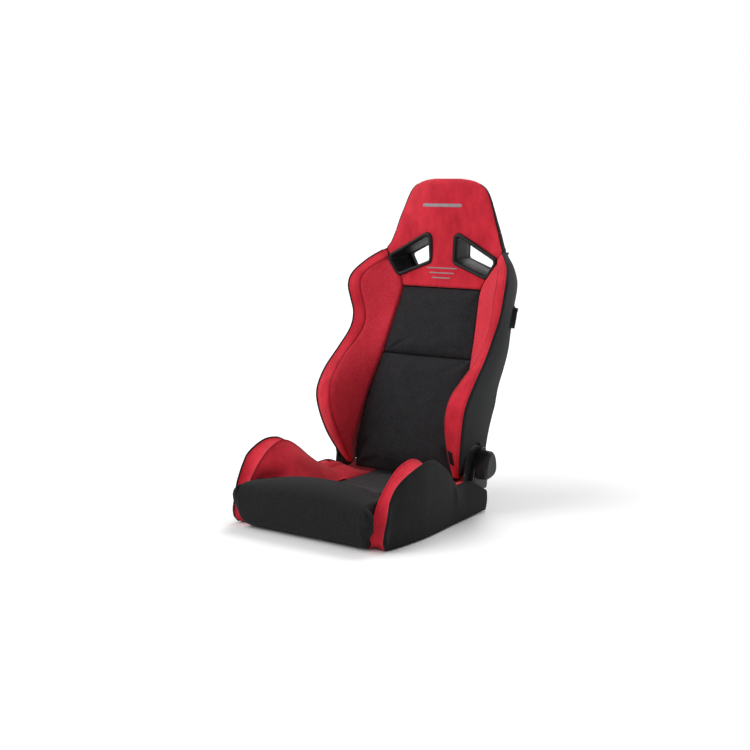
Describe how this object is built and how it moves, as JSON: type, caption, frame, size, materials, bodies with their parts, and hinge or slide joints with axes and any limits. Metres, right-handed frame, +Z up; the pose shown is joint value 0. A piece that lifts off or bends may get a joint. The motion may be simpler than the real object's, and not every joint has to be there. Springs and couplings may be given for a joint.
{
  "type": "racing seat",
  "caption": "Reclining bucket-style sports seat with winged backrest, fixed headrest, belt slots, thigh bolsters, recline dial and fold levers.",
  "frame": {"origin": "centre of the four base mounting bolts, on the plane the seat stands on", "axes": "+Z up, the sitter faces -Y, +X is the sitter's left, the side of the recline dial"},
  "size_m": [0.5682, 0.7866, 0.949],
  "materials": {
    "red_suede": "soft napped suede cloth",
    "black_mesh": "fine black mesh cloth",
    "insert_knit": "dark grey knitted cloth",
    "side_cloth": "plain black woven cloth",
    "black_plastic": "fine-grained moulded plastic",
    "painted_steel": "satin dark grey paint",
    "zinc_steel": "zinc-plated"
  },
  "bodies": {
    "seat_base": {"side_rail_left": "painted_steel", "side_rail_right": "painted_steel", "front_cross_tube": "painted_steel", "rear_cross_tube": "painted_steel", "seat_pan": "painted_steel", "cushion_spring_mat": "zinc_steel", "mount_nuts": "zinc_steel", "cushion_insert": "insert_knit", "nose_pad": "black_mesh", "thigh_bolster_left": "red_suede", "thigh_bolster_right": "red_suede", "hip_pad_left": "red_suede", "hip_pad_right": "red_suede", "side_skirt_left": "side_cloth", "side_skirt_right": "side_cloth", "lower_bracket_left": "painted_steel", "lower_bracket_right": "painted_steel", "bracket_bolts": "zinc_steel", "recliner_disc_outer_left": "zinc_steel", "recliner_disc_outer_right": "zinc_steel", "recliner_cover_left": "black_plastic", "recliner_cover_right": "black_plastic"},
    "hinge_arm": {"recliner_disc_inner_left": "zinc_steel", "recliner_disc_inner_right": "zinc_steel", "hinge_plate_left": "painted_steel", "hinge_plate_right": "painted_steel"},
    "dial": {"recline_dial": "black_plastic", "sync_shaft": "zinc_steel"},
    "backrest": {"back_side_plate_left": "painted_steel", "back_side_plate_right": "painted_steel", "back_tube_left": "painted_steel", "back_tube_right": "painted_steel", "back_cross_tube": "painted_steel", "lumbar_cross_bar": "painted_steel", "back_spring_mat": "zinc_steel", "head_stay": "painted_steel", "head_pad": "red_suede", "wing_left": "red_suede", "wing_right": "red_suede", "back_pad_upper": "black_mesh", "back_pad_lower": "black_mesh", "side_panel_left": "side_cloth", "side_panel_right": "side_cloth", "rear_panel": "side_cloth", "neck_rear_cover": "side_cloth", "head_rear_cover": "side_cloth", "belt_guide_left": "black_plastic", "belt_guide_right": "black_plastic", "belt_bezel_rear_left": "black_plastic", "belt_bezel_rear_right": "black_plastic", "lever_base_left": "black_plastic", "lever_base_right": "black_plastic", "lever_pin_left": "zinc_steel", "lever_pin_right": "zinc_steel", "side_tag": "side_cloth"},
    "lever_left": {"fold_lever_left": "black_plastic"},
    "lever_right": {"fold_lever_right": "black_plastic"}
  },
  "joints": [
    {"name": "back_recline", "type": "hinge", "parent": "seat_base", "child": "hinge_arm", "pos_m": [0, 0.205, 0.147], "axis": [-1, 0, 0], "range_deg": [-6, 45]},
    {"name": "fold_forward", "type": "hinge", "parent": "hinge_arm", "child": "backrest", "pos_m": [0, 0.205, 0.147], "axis": [1, 0, 0], "range_deg": [0, 35]},
    {"name": "dial_turn", "type": "hinge", "parent": "seat_base", "child": "dial", "pos_m": [0, 0.205, 0.147], "axis": [-1, 0, 0], "range_deg": [-90, 675]},
    {"name": "lever_left_pull", "type": "hinge", "parent": "backrest", "child": "lever_left", "pos_m": [0.23827, 0.40176, 0.57127], "axis": [0.9256, 0.3553, -0.1305], "range_deg": [0, 25], "stiffness_Nm_per_rad": 0.3, "springref_deg": -20.05},
    {"name": "lever_right_pull", "type": "hinge", "parent": "backrest", "child": "lever_right", "pos_m": [-0.23827, 0.40176, 0.57127], "axis": [0.9256, -0.3553, 0.1305], "range_deg": [0, 25], "stiffness_Nm_per_rad": 0.3, "springref_deg": -20.05}
  ],
  "couplings": [
    {"joint": "dial_turn", "follows": "back_recline", "ratio": 15}
  ]
}
